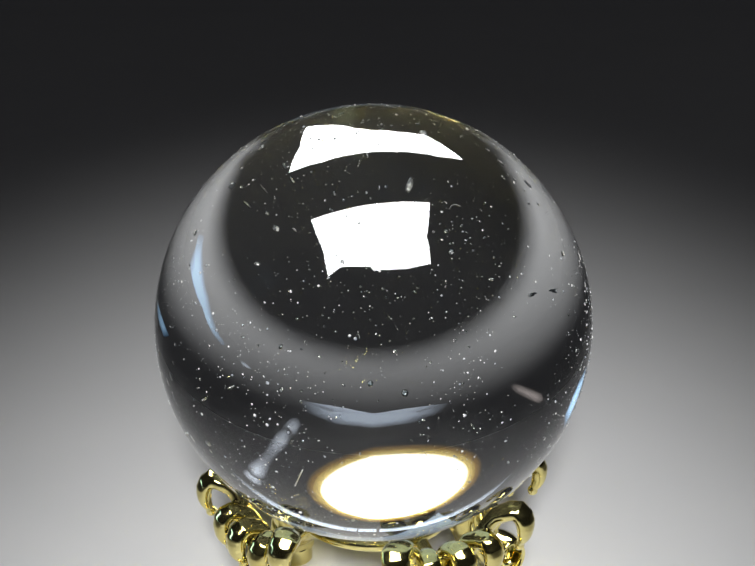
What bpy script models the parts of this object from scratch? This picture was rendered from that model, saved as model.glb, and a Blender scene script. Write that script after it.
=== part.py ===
"""A polished clear quartz sphere resting in a gilt cast stand: a cradle ring on four leafy scroll legs.

Metres, +Z up. The origin is on the table, under the middle of the sphere. Lengths of the stand are
given as shares of the sphere's radius, and heights are measured from the sphere's middle.
"""

import math

import bmesh
import bpy
from mathutils import Matrix, Vector

# Driving dimensions
SPHERE_RADIUS = 0.030
GAP = 0.0003  # between pieces that touch

FLOOR = -1.68  # the table, below the sphere's middle
SPHERE_SEGMENTS = 48
SPHERE_RINGS = 22

RING_ACROSS = 0.36  # radius of the circle that the ring's wire follows
RING_WIRE = 0.028
RING_SEGMENTS = 36
RING_WIRE_SEGMENTS = 8

LEG_BEARINGS = {
    "leg_front_left": 225,
    "leg_front_right": 315,
    "leg_back_right": 45,
    "leg_back_left": 135,
}

# The leg's strap: distance from the axis and height, from under the leaf to the foot's scroll
STRAP_LINE = ((0.66, -0.93), (0.60, -1.02), (0.545, -1.16), (0.54, -1.30), (0.60, -1.43), (0.70, -1.535))
STRAP_HALF_WIDTH = 0.085
STRAP_HALF_THICKNESS = 0.05
SCROLL_MIDDLE = (0.785, -1.50)
SCROLL_RADII = (0.115, 0.035)  # at its start and at its end
SCROLL_ANGLES = (-125, 300)
FOOT_RADIUS = 0.10
FOOT_TOP = -1.595

# How a lobe swells along its length: share of the length, share of its half width and thickness
LOBE_PROFILE = (
    (0.0, 0.55), (0.2, 0.75), (0.38, 0.9), (0.55, 1.0), (0.72, 0.97), (0.87, 0.78), (0.97, 0.45), (1.0, 0.0),
)

# The leaf: petals fanned round the sphere, by bearing from the leg's middle in degrees. Each rises
# beside the sphere and curls outwards and down. Its line is given as angles from straight down and
# distances from the sphere's middle. A petal's other values are added to those angles, lift the line,
# and set its half width.
PETALS = (
    (0, 0, 0, 0.060),
    (13, 0, 0, 0.058),
    (-13, 0, 0, 0.058),
    (26, 3.5, 0.05, 0.066),
    (-26, 3.5, 0.05, 0.066),
)
PETAL_ROOT = (0.597, -1.04)
PETAL_LINE = ((33.3, 1.10), (36.8, 1.093), (39.6, 1.12), (39.8, 1.175), (37.6, 1.23), (34.6, 1.265))
PETAL_HALF_THICKNESS = 0.042

# Leaf tips that hang over the outside of the leg: line, half width, bearings
HANGING_TIPS = (
    (((0.55, -1.17), (0.62, -1.12), (0.665, -1.17), (0.65, -1.27)), 0.052, (0, 11, -11)),
)
HANGING_HALF_THICKNESS = 0.038

# Volutes beside the strap, in the plane across the leg
VOLUTE_DISTANCE = 0.57
VOLUTE_STEM = ((0.02, -1.40), (0.07, -1.34))
VOLUTE_MIDDLE = (0.155, -1.20)
VOLUTE_RADII = (0.10, 0.035)
VOLUTE_ANGLES = (-95, 300)
VOLUTE_WIRE = (0.04, 0.024)

# The arm that carries the ring, from the strap to the ring's outside
ARM_FROM = (0.56, -1.13)
ARM_BEND = (0.47, -1.02)
ARM_WIRE = 0.036


def clear_scene():
    for old in list(bpy.data.objects):
        bpy.data.objects.remove(old)


def new_collection(name, hidden=False):
    made = bpy.data.collections.new(name)
    bpy.context.scene.collection.children.link(made)
    made.hide_render = hidden
    return made


def principled(name, colour, roughness, metallic=0.0, transmission=0.0, ior=1.5):
    material = bpy.data.materials.new(name)
    material.use_nodes = True
    shader = material.node_tree.nodes["Principled BSDF"]
    shader.inputs["Base Color"].default_value = (*colour, 1.0)
    shader.inputs["Roughness"].default_value = roughness
    shader.inputs["Metallic"].default_value = metallic
    shader.inputs["Transmission Weight"].default_value = transmission
    shader.inputs["IOR"].default_value = ior
    return material


def sized(distance, height, bearing=0.0):
    """A point of the leg that stands towards +X, from shares of the radius and a bearing in degrees."""
    turn = math.radians(bearing)
    return Vector((distance * math.cos(turn), distance * math.sin(turn), height - FLOOR)) * SPHERE_RADIUS


def smooth_line(points, count):
    """count points spaced along the Catmull-Rom curve through points."""
    ends = [points[0] * 2 - points[1], *points, points[-1] * 2 - points[-2]]
    fine = []
    for a, b, c, d in zip(ends, ends[1:], ends[2:], ends[3:]):
        for step in range(12):
            t = step / 12
            fine.append(
                0.5 * ((2 * b) + (c - a) * t + (2 * a - 5 * b + 4 * c - d) * t**2 + (3 * b - a - 3 * c + d) * t**3)
            )
    fine.append(points[-1])
    travelled = [0.0]
    for a, b in zip(fine, fine[1:]):
        travelled.append(travelled[-1] + (b - a).length)
    spaced, i = [], 0
    for k in range(count):
        wanted = travelled[-1] * k / (count - 1)
        while i < len(fine) - 2 and travelled[i + 1] < wanted:
            i += 1
        share = (wanted - travelled[i]) / max(travelled[i + 1] - travelled[i], 1e-12)
        spaced.append(fine[i].lerp(fine[i + 1], min(1.0, share)))
    return spaced


def tube(name, collection, line, radii):
    """A round wire along line, as a mesh that the Boolean can use, with its own radius at each point."""
    curve = bpy.data.curves.new(name, "CURVE")
    curve.dimensions = "3D"
    curve.bevel_depth = 1.0
    curve.bevel_resolution = 1
    curve.use_fill_caps = True
    spline = curve.splines.new("POLY")
    spline.points.add(len(line) - 1)
    for point, place, radius in zip(spline.points, line, radii):
        point.co = (*place, 1.0)
        point.radius = radius
    wire = bpy.data.objects.new(name + "_line", curve)
    collection.objects.link(wire)
    bpy.context.view_layer.update()
    graph = bpy.context.evaluated_depsgraph_get()
    data = bpy.data.meshes.new_from_object(wire.evaluated_get(graph))
    bpy.data.objects.remove(wire)
    welded = bmesh.new()
    welded.from_mesh(data)
    bmesh.ops.remove_doubles(welded, verts=welded.verts, dist=1e-6)
    bmesh.ops.recalc_face_normals(welded, faces=welded.faces)
    welded.to_mesh(data)
    welded.free()
    made = bpy.data.objects.new(name, data)
    collection.objects.link(made)
    return made


def loft(name, collection, line, across, half_widths, half_thicknesses, sides):
    """A solid between oval sections of different sizes: flat ends, or a point where the half width is 0."""
    mesh = bmesh.new()
    rings = []
    for i, middle in enumerate(line):
        ahead = (line[min(i + 1, len(line) - 1)] - line[max(i - 1, 0)]).normalized()
        side = (across[i] - across[i].project(ahead)).normalized()
        out = ahead.cross(side)
        if half_widths[i] < 1e-6:
            rings.append([mesh.verts.new(middle)])
            continue
        ring = []
        for k in range(sides):
            turn = math.tau * k / sides
            offset = side * half_widths[i] * math.cos(turn) + out * half_thicknesses[i] * math.sin(turn)
            ring.append(mesh.verts.new(middle + offset))
        rings.append(ring)
    for a, b in zip(rings, rings[1:]):
        for k in range(sides):
            corners = [a[k % len(a)], a[(k + 1) % len(a)], b[(k + 1) % len(b)], b[k % len(b)]]
            mesh.faces.new(list(dict.fromkeys(corners)))
    for ring in (rings[0], rings[-1]):
        if len(ring) > 1:
            mesh.faces.new(ring)
    bmesh.ops.recalc_face_normals(mesh, faces=mesh.faces)
    data = bpy.data.meshes.new(name)
    mesh.to_mesh(data)
    mesh.free()
    made = bpy.data.objects.new(name, data)
    collection.objects.link(made)
    return made


def lobe(name, collection, points, bearing, half_width, half_thickness):
    """A leaf's lobe along points: slim at its root, full near its tip, then round."""
    fine = smooth_line(points, 101)
    line = [fine[round(100 * share)] for share, _ in LOBE_PROFILE]
    turn = math.radians(bearing)
    across = [Vector((-math.sin(turn), math.cos(turn), 0))] * len(line)
    widths = [SPHERE_RADIUS * half_width * swelling for _, swelling in LOBE_PROFILE]
    thicknesses = [SPHERE_RADIUS * half_thickness * swelling for _, swelling in LOBE_PROFILE]
    return loft(name, collection, line, across, widths, thicknesses, 6)


def petal(collection, bearing, lean, lift, half_width):
    """One petal of the leaf, from the strap up beside the sphere and over to a hanging tip."""
    points = [sized(*PETAL_ROOT, 0.25 * bearing)]
    for i, (angle, distance) in enumerate(PETAL_LINE):
        turn = math.radians(angle + lean)
        spread = bearing * min(1.0, 0.8 + 0.1 * i)
        points.append(sized(distance * math.sin(turn), lift - distance * math.cos(turn), spread))
    return lobe("petal", collection, points, bearing, half_width, PETAL_HALF_THICKNESS)


def spiral(middle, radii, angles, count):
    """Points, as shares of the radius, on a spiral round middle that closes in."""
    found = []
    for i in range(count):
        share = i / (count - 1)
        angle = math.radians(angles[0] + (angles[1] - angles[0]) * share)
        reach = radii[0] + (radii[1] - radii[0]) * share
        found.append((middle[0] + reach * math.cos(angle), middle[1] + reach * math.sin(angle)))
    return found


def strap(collection):
    """The leg itself, which rolls up into the foot's scroll."""
    roll = spiral(SCROLL_MIDDLE, SCROLL_RADII, SCROLL_ANGLES, 12)
    line = smooth_line([sized(*p) for p in (*STRAP_LINE, *roll)], 22)
    thin = STRAP_HALF_THICKNESS * 0.5
    widths, thicknesses = [], []
    for i in range(len(line)):
        share = i / (len(line) - 1)
        widths.append(SPHERE_RADIUS * STRAP_HALF_WIDTH * (1 - 0.12 * math.sin(math.pi * min(1.0, share * 2))))
        rolled = min(1.0, share / 0.5)
        thicknesses.append(SPHERE_RADIUS * (STRAP_HALF_THICKNESS + (thin - STRAP_HALF_THICKNESS) * rolled))
    return loft("strap", collection, line, [Vector((0, 1, 0))] * len(line), widths, thicknesses, 6)


def volute(collection, hand):
    """A wire that leaves the strap and curls up beside it; hand is 1 or -1."""
    curl = spiral(VOLUTE_MIDDLE, VOLUTE_RADII, VOLUTE_ANGLES, 10)
    points = []
    for beside, height in (*VOLUTE_STEM, *curl):
        points.append(sized(VOLUTE_DISTANCE, height, hand * math.degrees(beside / VOLUTE_DISTANCE)))
    line = smooth_line(points, 14)
    radii = []
    for i in range(len(line)):
        share = i / (len(line) - 1)
        radii.append(SPHERE_RADIUS * (VOLUTE_WIRE[0] + (VOLUTE_WIRE[1] - VOLUTE_WIRE[0]) * share))
    return tube("volute", collection, line, radii)


def arm(collection):
    """The arm under the ring, ending just short of it."""
    outside = RING_ACROSS + RING_WIRE + GAP / SPHERE_RADIUS
    line = smooth_line([sized(*ARM_FROM), sized(*ARM_BEND), sized(outside, -ring_drop())], 5)
    return tube("arm", collection, line, [SPHERE_RADIUS * ARM_WIRE] * len(line))


def foot(collection):
    bpy.ops.mesh.primitive_cylinder_add(
        vertices=12,
        radius=SPHERE_RADIUS * FOOT_RADIUS,
        depth=SPHERE_RADIUS * (FOOT_TOP - FLOOR),
        location=sized(SCROLL_MIDDLE[0], (FOOT_TOP + FLOOR) / 2),
    )
    made = bpy.context.object
    made.name = "foot"
    for owner in list(made.users_collection):
        owner.objects.unlink(made)
    collection.objects.link(made)
    return made


def fused(name, base, collection):
    """One closed mesh from base and every piece in collection."""
    union = base.modifiers.new("join", "BOOLEAN")
    union.operation = "UNION"
    union.operand_type = "COLLECTION"
    union.collection = collection
    union.solver = "EXACT"
    bpy.context.view_layer.update()
    graph = bpy.context.evaluated_depsgraph_get()
    data = bpy.data.meshes.new_from_object(base.evaluated_get(graph))
    data.name = name
    return data


def leg_mesh():
    """The casting of one leg, standing towards +X."""
    trimmings = new_collection("leg_trimmings", hidden=True)
    base_home = new_collection("leg_base", hidden=True)
    for bearing, lean, lift, half_width in PETALS:
        petal(trimmings, bearing, lean, lift, half_width)
    for line, half_width, bearings in HANGING_TIPS:
        for bearing in bearings:
            points = [sized(distance, height, bearing * (0.35 + 0.65 * i / (len(line) - 1)))
                      for i, (distance, height) in enumerate(line)]
            lobe("hanging_tip", trimmings, points, bearing, half_width, HANGING_HALF_THICKNESS)
    volute(trimmings, 1)
    volute(trimmings, -1)
    arm(trimmings)
    foot(trimmings)
    return fused("leg", strap(base_home), trimmings)


def ring_drop():
    """How far the ring's wire lies below the sphere's middle, so that it carries the sphere."""
    reach = 1 + RING_WIRE + GAP / SPHERE_RADIUS
    return math.sqrt(reach**2 - RING_ACROSS**2)


def build_sphere(collection, material):
    bpy.ops.mesh.primitive_uv_sphere_add(
        segments=SPHERE_SEGMENTS,
        ring_count=SPHERE_RINGS,
        radius=SPHERE_RADIUS,
        location=(0, 0, -FLOOR * SPHERE_RADIUS),
    )
    finish_piece(bpy.context.object, "quartz_sphere", collection, material)


def build_ring(collection, material):
    bpy.ops.mesh.primitive_torus_add(
        major_segments=RING_SEGMENTS,
        minor_segments=RING_WIRE_SEGMENTS,
        major_radius=RING_ACROSS * SPHERE_RADIUS,
        minor_radius=RING_WIRE * SPHERE_RADIUS,
        location=(0, 0, (-ring_drop() - FLOOR) * SPHERE_RADIUS),
    )
    finish_piece(bpy.context.object, "cradle_ring", collection, material)


def finish_piece(made, name, collection, material):
    made.name = name
    made.data.name = name
    made.data.materials.clear()
    made.data.materials.append(material)
    made.data.shade_smooth()
    for owner in list(made.users_collection):
        owner.objects.unlink(made)
    collection.objects.link(made)


def build_legs(collection, material):
    shape = leg_mesh()
    shape.materials.clear()
    shape.materials.append(material)
    shape.shade_smooth()
    shape.set_sharp_from_angle(angle=math.radians(40))
    for name, bearing in LEG_BEARINGS.items():
        made = bpy.data.objects.new(name, shape)
        made.matrix_world = Matrix.Rotation(math.radians(bearing), 4, "Z")
        collection.objects.link(made)


def main():
    clear_scene()
    whole = new_collection("quartz_sphere_on_stand")
    quartz = principled("clear_quartz", (0.97, 0.98, 0.98), 0.0, transmission=1.0, ior=1.544)
    ring_metal = principled("gilt_ring", (0.86, 0.62, 0.20), 0.16, metallic=1.0)
    leg_metal = principled("gilt_casting", (0.86, 0.66, 0.22), 0.14, metallic=1.0)
    build_sphere(whole, quartz)
    build_ring(whole, ring_metal)
    build_legs(whole, leg_metal)


main()
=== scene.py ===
"""The looks of a clear quartz sphere on its gilt stand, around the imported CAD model.

Lengths of the stand are shares of the sphere's radius, and heights are measured from the sphere's
middle, as in the CAD model's source.
"""

import math
import random

import bmesh
import bpy
from mathutils import Euler, Matrix, Vector, noise


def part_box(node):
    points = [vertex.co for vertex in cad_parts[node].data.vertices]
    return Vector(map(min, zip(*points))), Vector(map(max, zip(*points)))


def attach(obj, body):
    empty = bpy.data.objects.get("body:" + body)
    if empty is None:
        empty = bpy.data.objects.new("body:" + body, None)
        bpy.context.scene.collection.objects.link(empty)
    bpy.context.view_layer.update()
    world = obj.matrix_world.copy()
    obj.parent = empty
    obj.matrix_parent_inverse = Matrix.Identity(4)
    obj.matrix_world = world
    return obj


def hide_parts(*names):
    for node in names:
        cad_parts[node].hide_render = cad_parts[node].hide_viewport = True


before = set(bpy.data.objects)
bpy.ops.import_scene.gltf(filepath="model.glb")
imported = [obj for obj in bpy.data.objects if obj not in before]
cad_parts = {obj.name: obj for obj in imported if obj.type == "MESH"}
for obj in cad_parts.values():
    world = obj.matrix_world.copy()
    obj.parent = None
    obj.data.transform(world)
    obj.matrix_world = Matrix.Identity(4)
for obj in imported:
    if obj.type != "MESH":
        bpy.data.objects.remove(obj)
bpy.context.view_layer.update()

# From the frame
sphere_low, sphere_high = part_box("quartz_sphere")
RADIUS = (sphere_high.z - sphere_low.z) / 2
CENTRE = Vector((0, 0, (sphere_high.z + sphere_low.z) / 2))
FLOOR = -CENTRE.z / RADIUS
LEG_BEARINGS = {
    "leg_front_left": 225,
    "leg_front_right": 315,
    "leg_back_right": 45,
    "leg_back_left": 135,
}

# The photograph's frame and the camera that took it
PHOTO_WIDTH, PHOTO_HEIGHT = 755, 566
SPHERE_MIDDLE_PIXEL = (373.5, 322.0)
SPHERE_PIXELS = 219.0  # the outline's radius
CAMERA_BEARING = 12.0  # to the right of straight in front
CAMERA_HEIGHT_ANGLE = 24.5
CAMERA_DISTANCE = 7.73  # in sphere radii
SENSOR_WIDTH = 36  # in millimetres
NEAR_CLIP = 0.01
QUARTZ_IOR = 1.544


def new_object(name, data):
    made = bpy.data.objects.new(name, data)
    bpy.context.scene.collection.objects.link(made)
    return made


def towards(bearing, height_angle):
    """The direction from the sphere to the front, turned right and raised by angles in degrees."""
    bearing, height = math.radians(bearing), math.radians(height_angle)
    level = math.cos(height)
    return Vector((math.sin(bearing) * level, -math.cos(bearing) * level, math.sin(height)))


def place_camera():
    """The camera at the photograph's angle, turned so that the sphere's middle is on its pixel."""
    outline_angle = math.asin(1 / CAMERA_DISTANCE)
    focal_pixels = SPHERE_PIXELS / math.tan(outline_angle)
    bearing, height = math.radians(CAMERA_BEARING), math.radians(CAMERA_HEIGHT_ANGLE)
    back = towards(CAMERA_BEARING, CAMERA_HEIGHT_ANGLE)
    lens = bpy.data.cameras.new("camera")
    lens.sensor_width = SENSOR_WIDTH
    lens.lens = focal_pixels / PHOTO_WIDTH * lens.sensor_width
    lens.clip_start = NEAR_CLIP
    camera = new_object("camera", lens)
    pitch = math.atan((SPHERE_MIDDLE_PIXEL[1] - PHOTO_HEIGHT / 2) / focal_pixels)
    turn = math.atan((PHOTO_WIDTH / 2 - SPHERE_MIDDLE_PIXEL[0]) / focal_pixels) / math.cos(height)
    camera.location = CENTRE + back * CAMERA_DISTANCE * RADIUS
    camera.rotation_euler = Euler((math.pi / 2 - height + pitch, 0, bearing - turn))
    bpy.context.scene.camera = camera
    bpy.context.view_layer.update()
    return camera, focal_pixels


camera, FOCAL_PIXELS = place_camera()


def turned_back(ray, normal):
    """A ray after a mirror with that normal."""
    return ray - 2 * ray.dot(normal) * normal


def first_hit(pixel):
    """The ray through a pixel and the point where it meets the sphere, both from the sphere's middle."""
    across = (pixel[0] - PHOTO_WIDTH / 2) / FOCAL_PIXELS
    up = (PHOTO_HEIGHT / 2 - pixel[1]) / FOCAL_PIXELS
    ray = (camera.matrix_world.to_3x3() @ Vector((across, up, -1))).normalized()
    start = camera.location - CENTRE
    along = -start.dot(ray)
    nearest_squared = start.length_squared - along**2
    return ray, start + ray * (along - math.sqrt(max(0.0, RADIUS**2 - nearest_squared)))


def mirrored(pixel):
    """Where light comes from that the sphere's front mirrors at a pixel: a point on it and a direction."""
    ray, hit = first_hit(pixel)
    return CENTRE + hit, turned_back(ray, hit.normalized())


def seen_within(pixel, turns):
    """The same for light that goes through the sphere and is mirrored inside it that many times."""
    ray, hit = first_hit(pixel)
    normal = hit.normalized()
    facing = -ray.dot(normal)
    ray = ray / QUARTZ_IOR + normal * (facing / QUARTZ_IOR - math.sqrt(1 - (1 - facing**2) / QUARTZ_IOR**2))
    hit = hit - ray * 2 * hit.dot(ray) / ray.length_squared
    for _ in range(turns):
        ray = turned_back(ray, hit.normalized())
        hit = hit - ray * 2 * hit.dot(ray) / ray.length_squared
    normal = hit.normalized()
    facing = ray.dot(normal)
    bent = math.sqrt(max(0.0, 1 - QUARTZ_IOR**2 * (1 - facing**2)))
    return CENTRE + hit, (ray * QUARTZ_IOR + normal * (bent - QUARTZ_IOR * facing)).normalized()


def seen_through(pixel):
    return seen_within(pixel, 0)


def seen_inside(pixel):
    return seen_within(pixel, 1)


# Materials

QUARTZ_TINT = (0.985, 0.992, 1.0, 1.0)
QUARTZ_DEPTH_COLOUR = (0.90, 0.95, 0.97, 1.0)
GILT_BRIGHT = (0.88, 0.79, 0.35)
# The next colour is painted shade for the gilt's hollows
GILT_PAINTED_SHADE = (0.22, 0.16, 0.04)
GILT_WORN = (0.78, 0.67, 0.24)
DUST_TINTS = ((0.28, 0.31, 0.34), (0.95, 0.95, 0.92))
FLOOR_TINTS = ((0.70, 0.705, 0.71), (0.76, 0.76, 0.765))


def new_material(name):
    material = bpy.data.materials.new(name)
    material.use_nodes = True
    tree = material.node_tree
    return material, tree, tree.nodes["Principled BSDF"], tree.nodes["Material Output"]


def node(tree, kind, **settings):
    made = tree.nodes.new("ShaderNode" + kind)
    for key, value in settings.items():
        if key in made.inputs:
            made.inputs[key].default_value = value
        else:
            setattr(made, key, value)
    return made


def noise_value(tree, scale, detail=4.0, roughness=0.55):
    where = node(tree, "TexCoord")
    texture = node(tree, "TexNoise", Scale=scale, Detail=detail, Roughness=roughness)
    tree.links.new(where.outputs["Object"], texture.inputs["Vector"])
    return texture.outputs["Fac"]


def remap(tree, value, low, high, to_low=0.0, to_high=1.0):
    made = node(tree, "MapRange")
    tree.links.new(value, made.inputs["Value"])
    for key, setting in (("From Min", low), ("From Max", high), ("To Min", to_low), ("To Max", to_high)):
        made.inputs[key].default_value = setting
    return made.outputs["Result"]


def mixed_colour(tree, factor, low, high):
    made = node(tree, "Mix", data_type="RGBA")
    tree.links.new(factor, made.inputs["Factor"])
    for socket, colour in (("A_Color", low), ("B_Color", high)):
        found = next(s for s in made.inputs if s.identifier == socket)
        found.default_value = (*colour, 1.0)
    return next(s for s in made.outputs if s.identifier == "Result_Color")


def quartz_material():
    """Clear crystal, polished, with the faintest smears of handling on it."""
    material, tree, shader, output = new_material("clear_quartz")
    shader.inputs["Base Color"].default_value = QUARTZ_TINT
    shader.inputs["Transmission Weight"].default_value = 1.0
    shader.inputs["IOR"].default_value = QUARTZ_IOR
    smears = noise_value(tree, scale=90.0, detail=6.0)
    polish = remap(tree, smears, low=0.62, high=0.8, to_low=0.0, to_high=0.035)
    tree.links.new(polish, shader.inputs["Roughness"])
    absorption = node(tree, "VolumeAbsorption", Color=QUARTZ_DEPTH_COLOUR, Density=1.2)
    tree.links.new(absorption.outputs["Volume"], output.inputs["Volume"])
    return material


def gilt_material():
    """Polished gold plate over a casting, with painted shade: the colour is darker in the hollows than on
    the ridges.
    """
    material, tree, shader, _ = new_material("gilt_casting")
    shader.inputs["Metallic"].default_value = 1.0
    geometry = node(tree, "NewGeometry")
    # Painted shade: low Pointiness darkens the base colour towards a dark brown in the hollows
    shade_free_ridge = remap(tree, geometry.outputs["Pointiness"], low=0.44, high=0.53)
    blotch = noise_value(tree, scale=260.0, detail=5.0)
    plate = mixed_colour(tree, remap(tree, blotch, low=0.35, high=0.7), GILT_BRIGHT, GILT_WORN)
    painted_shade_mix = node(tree, "Mix", data_type="RGBA")
    tree.links.new(shade_free_ridge, painted_shade_mix.inputs["Factor"])
    sockets = {s.identifier: s for s in painted_shade_mix.inputs}
    sockets["A_Color"].default_value = (*GILT_PAINTED_SHADE, 1.0)
    tree.links.new(plate, sockets["B_Color"])
    result = next(s for s in painted_shade_mix.outputs if s.identifier == "Result_Color")
    tree.links.new(result, shader.inputs["Base Color"])
    polish = remap(tree, blotch, low=0.3, high=0.75, to_low=0.07, to_high=0.2)
    tree.links.new(polish, shader.inputs["Roughness"])
    grain = node(tree, "Bump", Strength=0.12, Distance=0.00005)
    tree.links.new(noise_value(tree, scale=1800.0, detail=3.0), grain.inputs["Height"])
    tree.links.new(grain.outputs["Normal"], shader.inputs["Normal"])
    return material


def dust_material():
    material, tree, shader, _ = new_material("dust")
    shade = remap(tree, noise_value(tree, scale=900.0), low=0.40, high=0.64)
    tint = mixed_colour(tree, shade, *DUST_TINTS)
    tree.links.new(tint, shader.inputs["Base Color"])
    shader.inputs["Roughness"].default_value = 1.0
    shader.inputs["Specular IOR Level"].default_value = 0.0
    return material


def floor_material():
    material, tree, shader, _ = new_material("pale_floor")
    tint = mixed_colour(tree, noise_value(tree, scale=35.0, detail=6.0), *FLOOR_TINTS)
    tree.links.new(tint, shader.inputs["Base Color"])
    shader.inputs["Roughness"].default_value = 1.0
    shader.inputs["Specular IOR Level"].default_value = 0.0
    return material


# Shapes

CURVE_STEPS = 24
NO_LENGTH = 1e-12
POINT_WIDTH = 1e-6  # a section slimmer than this is one point


def sized(distance, height, bearing=0.0):
    """A point of the leg that stands towards +X, from shares of the radius and a bearing in degrees."""
    turn = math.radians(bearing)
    return Vector((distance * math.cos(turn), distance * math.sin(turn), height - FLOOR)) * RADIUS


def smooth_line(points, count):
    """count points spaced along the Catmull-Rom curve through points."""
    ends = [points[0] * 2 - points[1], *points, points[-1] * 2 - points[-2]]
    fine = []
    for a, b, c, d in zip(ends, ends[1:], ends[2:], ends[3:]):
        for step in range(CURVE_STEPS):
            t = step / CURVE_STEPS
            square = (2 * a - 5 * b + 4 * c - d) * t**2
            fine.append(0.5 * ((2 * b) + (c - a) * t + square + (3 * b - a - 3 * c + d) * t**3))
    fine.append(points[-1])
    travelled = [0.0]
    for a, b in zip(fine, fine[1:]):
        travelled.append(travelled[-1] + (b - a).length)
    spaced, i = [], 0
    for k in range(count):
        wanted = travelled[-1] * k / (count - 1)
        while i < len(fine) - 2 and travelled[i + 1] < wanted:
            i += 1
        share = (wanted - travelled[i]) / max(travelled[i + 1] - travelled[i], NO_LENGTH)
        spaced.append(fine[i].lerp(fine[i + 1], min(1.0, share)))
    return spaced


def sweep(mesh, line, across, half_widths, half_thicknesses, sides=20):
    """Adds a closed form with oval sections along line to mesh."""
    rings = []
    for i, middle in enumerate(line):
        ahead = (line[min(i + 1, len(line) - 1)] - line[max(i - 1, 0)]).normalized()
        side = (across[i] - across[i].project(ahead)).normalized()
        out = ahead.cross(side)
        if half_widths[i] < POINT_WIDTH:
            rings.append([mesh.verts.new(middle)])
            continue
        ring = []
        for k in range(sides):
            turn = math.tau * k / sides
            offset = side * half_widths[i] * math.cos(turn) + out * half_thicknesses[i] * math.sin(turn)
            ring.append(mesh.verts.new(middle + offset))
        rings.append(ring)
    for a, b in zip(rings, rings[1:]):
        for k in range(sides):
            corners = [a[k % len(a)], a[(k + 1) % len(a)], b[(k + 1) % len(b)], b[k % len(b)]]
            mesh.faces.new(list(dict.fromkeys(corners)))
    for ring in (rings[0], rings[-1]):
        if len(ring) > 1:
            mesh.faces.new(ring)


# The leg, as in the CAD model's source, and finer
LOBE_STATIONS = 22
LOBE_FINE_STEPS = 200
STRAP_LINE = ((0.66, -0.93), (0.60, -1.02), (0.545, -1.16), (0.54, -1.30), (0.60, -1.43), (0.70, -1.535))
STRAP_HALF_WIDTH = 0.085
STRAP_HALF_THICKNESS = 0.05
STRAP_TAPER = 0.5  # the thickness at its rolled end, and the share of its length to there
STRAP_WAIST = 0.12
STRAP_STATIONS = 110
SCROLL_MIDDLE = (0.785, -1.50)
SCROLL_RADII = (0.115, 0.035)
SCROLL_ANGLES = (-125, 300)
SCROLL_POINTS = 24
SCROLL_BEAD_RADIUS = 0.045
FOOT_RADIUS = 0.10
FOOT_TOP = -1.595
PETALS = (
    (0, 0, 0, 0.060),
    (13, 0, 0, 0.058),
    (-13, 0, 0, 0.058),
    (26, 3.5, 0.05, 0.066),
    (-26, 3.5, 0.05, 0.066),
)  # bearing, lean, lift, half width
PETAL_ROOT = (0.597, -1.04)
PETAL_ROOT_SPREAD = 0.25
PETAL_FIRST_SPREAD = 0.8
PETAL_SPREAD_STEP = 0.1
PETAL_LINE = ((33.3, 1.10), (36.8, 1.093), (39.6, 1.12), (39.8, 1.175), (37.6, 1.23), (34.6, 1.265))
PETAL_HALF_THICKNESS = 0.042
HANGING_TIPS = (
    (((0.55, -1.17), (0.62, -1.12), (0.665, -1.17), (0.65, -1.27)), 0.052, (0, 11, -11)),
)  # line, half width, bearings
HANGING_HALF_THICKNESS = 0.038
HANGING_ROOT_SPREAD = 0.35
BEAD_RADIUS = 0.026
VOLUTE_DISTANCE = 0.57
VOLUTE_STEM = ((0.02, -1.40), (0.07, -1.34))
VOLUTE_MIDDLE = (0.155, -1.20)
VOLUTE_RADII = (0.10, 0.035)
VOLUTE_ANGLES = (-95, 300)
VOLUTE_WIRE = (0.04, 0.024)
VOLUTE_POINTS = 20
VOLUTE_STATIONS = 70
VOLUTE_SIDES = 14
ARM_FROM = (0.56, -1.13)
ARM_BEND = (0.47, -1.02)
ARM_WIRE = 0.036
ARM_STATIONS = 12
RING_GAP = 0.0003

CASTING_VOXEL = 0.00016
CASTING_SMOOTHING = 7
UNEVENNESS = 0.00004
UNEVENNESS_LENGTH = 0.0014


def lobe_swelling(share):
    """Half width of a lobe along its length: slim at the root, full near the tip, then round."""
    full, at_root, growth = 0.66, 0.55, 0.45
    if share < full:
        return at_root + growth * math.sin(share / full * math.pi / 2)
    return math.sqrt(max(0.0, 1 - ((share - full) / (1 - full)) ** 2))


def lobe(mesh, points, bearing, half_width, half_thickness):
    """A leaf's lobe along points, with its sections closer together towards the tip."""
    shares = [math.sin(i / (LOBE_STATIONS - 1) * math.pi / 2) for i in range(LOBE_STATIONS)]
    fine = smooth_line(points, LOBE_FINE_STEPS + 1)
    line = [fine[round(LOBE_FINE_STEPS * share)] for share in shares]
    turn = math.radians(bearing)
    across = [Vector((-math.sin(turn), math.cos(turn), 0))] * LOBE_STATIONS
    widths = [RADIUS * half_width * lobe_swelling(share) for share in shares]
    thicknesses = [RADIUS * half_thickness * lobe_swelling(share) for share in shares]
    sweep(mesh, line, across, widths, thicknesses)


def petal(mesh, bearing, lean, lift, half_width):
    """One petal of the leaf, from the strap up beside the sphere and over to a hanging tip."""
    points = [sized(*PETAL_ROOT, PETAL_ROOT_SPREAD * bearing)]
    for i, (angle, distance) in enumerate(PETAL_LINE):
        turn = math.radians(angle + lean)
        spread = bearing * min(1.0, PETAL_FIRST_SPREAD + PETAL_SPREAD_STEP * i)
        points.append(sized(distance * math.sin(turn), lift - distance * math.cos(turn), spread))
    lobe(mesh, points, bearing, half_width, PETAL_HALF_THICKNESS)
    bead(mesh, points[-1], RADIUS * BEAD_RADIUS)


def bead(mesh, middle, radius):
    bmesh.ops.create_icosphere(mesh, subdivisions=3, radius=radius, matrix=Matrix.Translation(middle))


def spiral(middle, radii, angles, count):
    """Points, as shares of the radius, on a spiral round middle that closes in."""
    found = []
    for i in range(count):
        share = i / (count - 1)
        angle = math.radians(angles[0] + (angles[1] - angles[0]) * share)
        reach = radii[0] + (radii[1] - radii[0]) * share
        found.append((middle[0] + reach * math.cos(angle), middle[1] + reach * math.sin(angle)))
    return found


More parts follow.
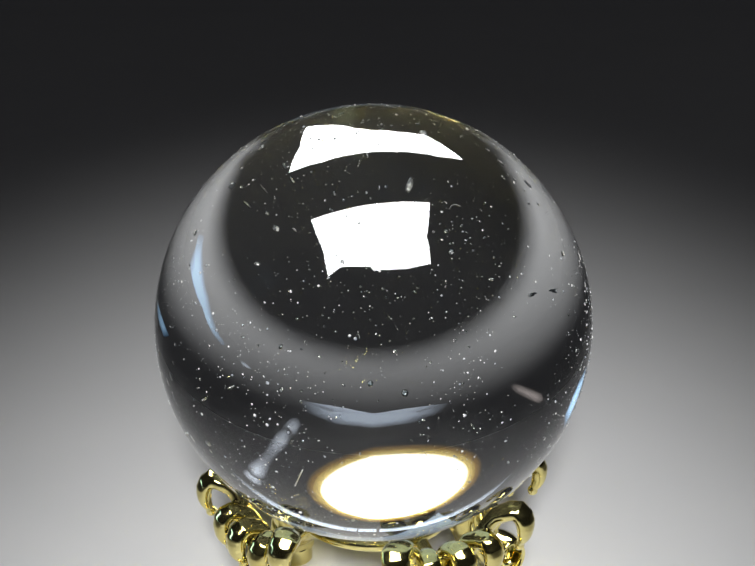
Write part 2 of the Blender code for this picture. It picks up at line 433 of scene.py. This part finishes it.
def strap(mesh):
    """The leg itself, which rolls up into the foot's scroll."""
    roll = spiral(SCROLL_MIDDLE, SCROLL_RADII, SCROLL_ANGLES, SCROLL_POINTS)
    line = smooth_line([sized(*p) for p in (*STRAP_LINE, *roll)], STRAP_STATIONS)
    thin = STRAP_HALF_THICKNESS * STRAP_TAPER
    widths, thicknesses = [], []
    for i in range(len(line)):
        share = i / (len(line) - 1)
        waist = STRAP_WAIST * math.sin(math.pi * min(1.0, share * 2))
        widths.append(RADIUS * STRAP_HALF_WIDTH * (1 - waist))
        rolled = min(1.0, share / STRAP_TAPER)
        thicknesses.append(RADIUS * (STRAP_HALF_THICKNESS + (thin - STRAP_HALF_THICKNESS) * rolled))
    sweep(mesh, line, [Vector((0, 1, 0))] * len(line), widths, thicknesses)
    bead(mesh, sized(*SCROLL_MIDDLE), RADIUS * SCROLL_BEAD_RADIUS)


def volute(mesh, hand):
    """A wire that leaves the strap and curls up beside it; hand is 1 or -1."""
    curl = spiral(VOLUTE_MIDDLE, VOLUTE_RADII, VOLUTE_ANGLES, VOLUTE_POINTS)
    points = []
    for beside, height in (*VOLUTE_STEM, *curl):
        points.append(sized(VOLUTE_DISTANCE, height, hand * math.degrees(beside / VOLUTE_DISTANCE)))
    line = smooth_line(points, VOLUTE_STATIONS)
    across, widths = [], []
    for i, point in enumerate(line):
        across.append(Vector((point.x, point.y, 0)).normalized())
        share = i / (len(line) - 1)
        widths.append(RADIUS * (VOLUTE_WIRE[0] + (VOLUTE_WIRE[1] - VOLUTE_WIRE[0]) * share))
    sweep(mesh, line, across, widths, widths, VOLUTE_SIDES)
    bead(mesh, line[-1], RADIUS * VOLUTE_WIRE[0])


def arm(mesh, ring_across, ring_wire, ring_height):
    """The arm under the ring, ending just short of it."""
    outside = (ring_across + ring_wire + RING_GAP) / RADIUS
    line = smooth_line([sized(*ARM_FROM), sized(*ARM_BEND), sized(outside, ring_height)], ARM_STATIONS)
    wire = [RADIUS * ARM_WIRE] * ARM_STATIONS
    sweep(mesh, line, [Vector((0, 1, 0))] * ARM_STATIONS, wire, wire)


def foot(mesh):
    """The round pad under the scroll, down to the floor."""
    height = RADIUS * (FOOT_TOP - FLOOR)
    place = Matrix.Translation(Vector((SCROLL_MIDDLE[0] * RADIUS, 0, height / 2)))
    size = RADIUS * FOOT_RADIUS
    bmesh.ops.create_cone(
        mesh, cap_ends=True, segments=64, radius1=size, radius2=size, depth=height, matrix=place
    )


def casting(name, mesh):
    """One smooth skin round all the forms in mesh, uneven like a small casting."""
    bmesh.ops.recalc_face_normals(mesh, faces=mesh.faces)
    data = bpy.data.meshes.new(name)
    mesh.to_mesh(data)
    mesh.free()
    rough = new_object(name, data)
    remesh = rough.modifiers.new("skin", "REMESH")
    remesh.mode = "VOXEL"
    remesh.voxel_size = CASTING_VOXEL
    smooth = rough.modifiers.new("fillets", "SMOOTH")
    smooth.factor = 0.5
    smooth.iterations = CASTING_SMOOTHING
    bpy.context.view_layer.update()
    graph = bpy.context.evaluated_depsgraph_get()
    skin = bpy.data.meshes.new_from_object(rough.evaluated_get(graph))
    bpy.data.objects.remove(rough)
    moved = []
    for vertex in skin.vertices:
        place = vertex.co + vertex.normal * UNEVENNESS * noise.noise(vertex.co / UNEVENNESS_LENGTH)
        moved.append((place.x, place.y, max(place.z, 0.0)))
    skin.vertices.foreach_set("co", [value for place in moved for value in place])
    skin.update()
    skin.shade_smooth()
    skin.name = name
    return skin


def build_legs(gilt):
    ring_low, ring_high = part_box("cradle_ring")
    wire = (ring_high.z - ring_low.z) / 2
    across = ring_high.x - wire
    height = (ring_high.z + ring_low.z) / 2 / RADIUS + FLOOR
    mesh = bmesh.new()
    for bearing, lean, lift, half_width in PETALS:
        petal(mesh, bearing, lean, lift, half_width)
    for line, half_width, bearings in HANGING_TIPS:
        for bearing in bearings:
            points = []
            for i, (distance, level) in enumerate(line):
                spread = HANGING_ROOT_SPREAD + (1 - HANGING_ROOT_SPREAD) * i / (len(line) - 1)
                points.append(sized(distance, level, bearing * spread))
            lobe(mesh, points, bearing, half_width, HANGING_HALF_THICKNESS)
            bead(mesh, points[-1], RADIUS * BEAD_RADIUS)
    volute(mesh, 1)
    volute(mesh, -1)
    arm(mesh, across, wire, height)
    foot(mesh)
    strap(mesh)
    skin = casting("gilt_leg", mesh)
    skin.materials.clear()
    skin.materials.append(gilt)
    for name, bearing in LEG_BEARINGS.items():
        leg = new_object("gilt_" + name, skin)
        leg.matrix_world = Matrix.Rotation(math.radians(bearing), 4, "Z")
        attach(leg, "root")
        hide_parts(name)


def build_ring(gilt):
    low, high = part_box("cradle_ring")
    wire = (high.z - low.z) / 2
    bpy.ops.mesh.primitive_torus_add(
        major_segments=160,
        minor_segments=28,
        major_radius=high.x - wire,
        minor_radius=wire,
        location=(0, 0, (high.z + low.z) / 2),
    )
    ring = bpy.context.object
    ring.name = "gilt_ring"
    ring.data.shade_smooth()
    ring.data.materials.append(gilt)
    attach(ring, "root")
    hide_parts("cradle_ring")


def build_sphere(quartz):
    bpy.ops.mesh.primitive_ico_sphere_add(subdivisions=7, radius=RADIUS, location=CENTRE)
    sphere = bpy.context.object
    sphere.name = "quartz_ball"
    sphere.data.shade_smooth()
    sphere.data.materials.append(quartz)
    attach(sphere, "root")
    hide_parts("quartz_sphere")


# Dust on the sphere
DUST_SEED = 7
DUST_PATCH_SCALE = 2.3
DUST_PATCH_BIAS = 0.45
SPECKS = 5200
SPECK_SIZES = (0.00005, 0.00019)
SPECK_SIZE_POWER = 7  # most specks are near the smaller size
SPECK_STRETCH = (0.6, 1.6)
SPECK_FLATNESS = 0.5
SPECK_LIFT = 0.3  # how far its middle is above the sphere, in its own size
LINT = 16
LINT_LENGTHS = (0.0005, 0.0018)
LINT_BEND = 1.2
LINT_POINTS = 6
LINT_STATIONS = 10
LINT_SIDES = 6
LINT_WIRE = 0.000022
LINT_LIFT = 0.00004


def any_way(chance):
    return Vector([chance.gauss(0, 1) for _ in range(3)]).normalized()


def build_dust(dust):
    """Specks and bits of lint that lie on the sphere, thicker in some places than in others."""
    chance = random.Random(DUST_SEED)
    mesh = bmesh.new()
    bmesh.ops.create_icosphere(mesh, subdivisions=1, radius=1.0)
    crumb = [vertex.co.copy() for vertex in mesh.verts]
    crumb_faces = [[vertex.index for vertex in face.verts] for face in mesh.faces]
    mesh.free()
    points, faces = [], []
    while len(points) < SPECKS * len(crumb):
        way = any_way(chance)
        if noise.noise(way * DUST_PATCH_SCALE) + DUST_PATCH_BIAS < chance.random():
            continue
        low, high = SPECK_SIZES
        size = low + (high - low) * chance.random() ** SPECK_SIZE_POWER
        stretch = (chance.uniform(*SPECK_STRETCH), chance.uniform(*SPECK_STRETCH), SPECK_FLATNESS, 1.0)
        shape = Matrix.Diagonal(stretch) * size
        spin = Matrix.Rotation(chance.uniform(0, math.tau), 4, "Z")
        turn = way.to_track_quat("Z", "Y").to_matrix().to_4x4() @ spin
        middle = CENTRE + way * (RADIUS + size * SPECK_LIFT)
        faces += [[len(points) + i for i in face] for face in crumb_faces]
        points += [middle + (turn @ shape).to_3x3() @ corner for corner in crumb]
    specks = bpy.data.meshes.new("specks")
    specks.from_pydata(points, [], faces)
    mesh = bmesh.new()
    mesh.from_mesh(specks)
    bpy.data.meshes.remove(specks)
    for _ in range(LINT):
        way = any_way(chance)
        heading = way.orthogonal().normalized()
        heading.rotate(Matrix.Rotation(chance.uniform(0, math.tau), 3, way))
        bend = chance.uniform(-LINT_BEND, LINT_BEND)
        length = chance.uniform(*LINT_LENGTHS)
        points = []
        for i in range(LINT_POINTS):
            share = i / (LINT_POINTS - 1) - 0.5
            step = heading * share * length + way.cross(heading) * bend * length * share**2
            points.append(CENTRE + (way * RADIUS + step).normalized() * (RADIUS + LINT_LIFT))
        wire = [LINT_WIRE] * LINT_STATIONS
        sweep(mesh, smooth_line(points, LINT_STATIONS), [way] * LINT_STATIONS, wire, wire, LINT_SIDES)
    bmesh.ops.recalc_face_normals(mesh, faces=mesh.faces)
    data = bpy.data.meshes.new("dust_on_quartz")
    mesh.to_mesh(data)
    mesh.free()
    data.materials.append(dust)
    data.shade_smooth()
    piece = new_object("dust_on_quartz", data)
    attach(piece, "root")


# Stage and light

FLOOR_SIZE = 8.0
WORLD_COLOUR = (0.012, 0.012, 0.012 * 1.1, 1)
PANEL_DISTANCE = 0.35
UPPER_PANEL_PIXELS = (
    (307, 127), (338, 128), (370, 130), (398, 132), (424, 135), (446, 147), (463, 160),
    (440, 157), (416, 153), (393, 152), (356, 154), (323, 162), (289, 173), (300, 147),
)
FRONT_PANEL_PIXELS = (
    (311, 220), (335, 212), (360, 206), (385, 203), (430, 203), (427, 235), (431, 264),
    (406, 269), (374, 271), (371, 267), (341, 267), (328, 277), (323, 251),
)
LOWER_STRIP_PIXELS = ((317, 251), (370, 242), (434, 237), (434, 264), (374, 271), (324, 278))
LEFT_STREAK_PIXELS = (
    (199, 234), (204, 236), (203, 262), (209, 298), (218, 332), (226, 345),
    (222, 345), (213, 334), (203, 310), (193, 284), (190, 262), (195, 248),
)
LEFT_GLINT_PIXELS = ((240, 360), (245, 362), (253, 370), (256, 378), (249, 375), (243, 368))
LEFT_RIM_PIXELS = ((157, 300), (162, 302), (163, 318), (169, 336), (164, 337), (158, 318))
RIGHT_RIM_PIXELS = (
    (586.6, 365.4), (583.1, 382.1), (578.4, 396.6), (571.1, 414.1),
    (563.7, 427.4), (564.9, 415.4), (572.5, 396.4), (579.2, 381.0),
)
RIM_DISTANCE = 0.2
LEDGE_PIXELS = (
    (297, 400), (330, 411), (373, 415), (420, 412), (450, 403),
    (440, 413), (412, 424), (373, 429), (335, 425), (308, 414),
)
LEFT_POST_PIXELS = ((281, 440), (292, 427))
LEFT_POST_SIZE = 0.010
RIGHT_POST_PIXEL = (525, 392)
RIGHT_POST_SIZE = 0.006
DISC_CORNERS = 20
EVEN_WHITE = ((1.0, (0.96, 0.985, 1.0)),)
EVEN_COOL = ((1.0, (0.62, 0.80, 1.0)),)
AMBER_EDGED = (
    (0.80, (1.0, 0.98, 0.90)),
    (0.91, (0.13, 0.10, 0.03)),
    (0.98, (0.035, 0.02, 0.003)),
    (1.05, (0.0, 0.0, 0.0)),
)
SOFT_SLATE = ((0.6, (0.66, 0.76, 0.9)), (1.0, (0.0, 0.0, 0.0)))
FADING_SLATE = ((0.15, (0.72, 0.78, 0.88)), (1.0, (0.0, 0.0, 0.0)))
FADING_BROWN = ((0.15, (0.85, 0.74, 0.70)), (1.0, (0.0, 0.0, 0.0)))
SOFT_BLUE = ((0.5, (0.42, 0.70, 1.0)), (1.0, (0.02, 0.05, 0.10)))


def outline(pixels, source, distance=PANEL_DISTANCE):
    """The corners of a flat card that the sphere shows at those pixels."""
    rays = [source(pixel) for pixel in pixels]
    facing = sum((heading for _, heading in rays), Vector()).normalized()
    middle = sum((start for start, _ in rays), Vector()) / len(rays) + facing * distance
    return [start + heading * (middle - start).dot(facing) / heading.dot(facing) for start, heading in rays]


def disc(pixel, size, source, distance=PANEL_DISTANCE):
    """The corners of a round card that the sphere shows at a pixel."""
    start, heading = source(pixel)
    facing = heading.to_track_quat("Z", "Y")
    turns = [math.tau * k / DISC_CORNERS for k in range(DISC_CORNERS)]
    rim = [facing @ Vector((size * math.cos(turn), size * math.sin(turn), 0)) for turn in turns]
    return [start + heading * distance + corner for corner in rim]


def card(name, corners, strength, stops, in_mirror=True, through_ball=True):
    """A bright card that changes colour towards its edge.

    Stops are shares of its width with their colours, from the middle out. It shows in the light that
    the sphere mirrors, in the light that goes through the sphere, or in both.
    """
    middle = sum(corners, Vector()) / len(corners)
    count = len(corners)
    shown = [middle] + [middle + (corner - middle) * share for share, _ in stops for corner in corners]
    faces = [(0, 1 + i, 1 + (i + 1) % count) for i in range(count)]
    for start in range(1, 1 + count * (len(stops) - 1), count):
        for i in range(count):
            after = (i + 1) % count
            faces.append((start + i, start + count + i, start + count + after, start + after))
    mesh = bpy.data.meshes.new(name)
    mesh.from_pydata(shown, [], faces)
    glow = mesh.color_attributes.new("glow", "FLOAT_COLOR", "POINT")
    for i in range(len(shown)):
        colour = stops[max(0, (i - 1) // count)][1]
        glow.data[i].color = (*colour, 1.0)
    material, tree, shader, output = new_material(name)
    tree.nodes.remove(shader)
    emission = node(tree, "Emission", Strength=strength)
    colour = node(tree, "Attribute", attribute_name="glow")
    tree.links.new(colour.outputs["Color"], emission.inputs["Color"])
    tree.links.new(emission.outputs["Emission"], output.inputs["Surface"])
    mesh.materials.append(material)
    made = new_object(name, mesh)
    made.visible_camera = False
    made.visible_diffuse = False
    made.visible_shadow = False
    made.visible_glossy = in_mirror
    made.visible_transmission = through_ball


def soft_light(name, place, size, power):
    """A soft studio light that lights the floor and the dust but isn't mirrored in the sphere."""
    lamp = bpy.data.lights.new(name, "AREA")
    lamp.shape = "DISK"
    lamp.size = size
    lamp.energy = power
    made = new_object(name, lamp)
    made.location = place
    made.rotation_euler = (CENTRE - made.location).to_track_quat("-Z", "Y").to_euler()
    made.visible_glossy = False
    made.visible_transmission = False


def key_light(height_angle, distance, cone, softness, power, ahead):
    """The main light, from the camera's side: a soft pool on the floor that fades out behind the stand.

    Its middle is that far in front of the stand.
    """
    lamp = bpy.data.lights.new("key", "SPOT")
    lamp.energy = power
    lamp.spot_size = math.radians(cone)
    lamp.spot_blend = 1.0
    lamp.shadow_soft_size = softness
    made = new_object("key", lamp)
    back = towards(CAMERA_BEARING, height_angle)
    aim = towards(CAMERA_BEARING, 0) * ahead + CENTRE
    made.location = aim + back * distance
    made.rotation_euler = back.to_track_quat("Z", "Y").to_euler()
    made.visible_glossy = False
    made.visible_transmission = False


def build_stage():
    """The floor, the cards that the sphere mirrors and refracts, the lights and the dark surroundings."""
    bpy.ops.mesh.primitive_plane_add(size=FLOOR_SIZE, location=(0, 0, 0))
    floor = bpy.context.object
    floor.name = "pale_floor"
    floor.data.materials.append(floor_material())
    upper = outline(UPPER_PANEL_PIXELS, mirrored)
    front = outline(FRONT_PANEL_PIXELS, mirrored)
    strip = outline(LOWER_STRIP_PIXELS, mirrored)
    card("upper_panel", upper, strength=30, stops=EVEN_WHITE, through_ball=False)
    card("upper_panel_through", upper, strength=0.7, stops=EVEN_COOL, in_mirror=False)
    card("front_panel", front, strength=35, stops=EVEN_WHITE, through_ball=False)
    card("lower_strip", strip, strength=90, stops=AMBER_EDGED, in_mirror=False)
    ledge = outline(LEDGE_PIXELS, seen_inside)
    card("ledge", ledge, strength=9.5, stops=SOFT_SLATE, in_mirror=False)
    for place, pixel in enumerate(LEFT_POST_PIXELS):
        post = disc(pixel, LEFT_POST_SIZE, seen_inside)
        card(f"left_post_{place}", post, strength=9, stops=FADING_SLATE, in_mirror=False)
    post = disc(RIGHT_POST_PIXEL, RIGHT_POST_SIZE, seen_inside)
    card("right_post", post, strength=4.5, stops=FADING_BROWN, in_mirror=False)
    streak = outline(LEFT_STREAK_PIXELS, mirrored)
    glint = outline(LEFT_GLINT_PIXELS, mirrored)
    card("left_streak", streak, strength=7, stops=SOFT_BLUE, through_ball=False)
    card("left_glint", glint, strength=6, stops=SOFT_SLATE, through_ball=False)
    left_rim = outline(LEFT_RIM_PIXELS, seen_through, RIM_DISTANCE)
    right_rim = outline(RIGHT_RIM_PIXELS, seen_through, RIM_DISTANCE)
    card("left_rim", left_rim, strength=0.6, stops=SOFT_BLUE, in_mirror=False)
    card("right_rim", right_rim, strength=3.0, stops=SOFT_BLUE, in_mirror=False)
    key_light(height_angle=38.0, distance=0.6, cone=18.0, softness=0.05, power=32.0, ahead=0.08)
    soft_light("fill", place=(0.30, -0.25, 0.35), size=0.2, power=0.08)
    world = bpy.data.worlds.new("studio")
    world.use_nodes = True
    background = world.node_tree.nodes["Background"]
    background.inputs["Color"].default_value = WORLD_COLOUR
    bpy.context.scene.world = world
    bpy.context.scene.view_settings.view_transform = "Standard"
    bpy.context.scene.cycles.caustics_refractive = False
    bpy.context.scene.cycles.sample_clamp_indirect = 0.0


gilt = gilt_material()
build_sphere(quartz_material())
build_ring(gilt)
build_legs(gilt)
build_dust(dust_material())
build_stage()
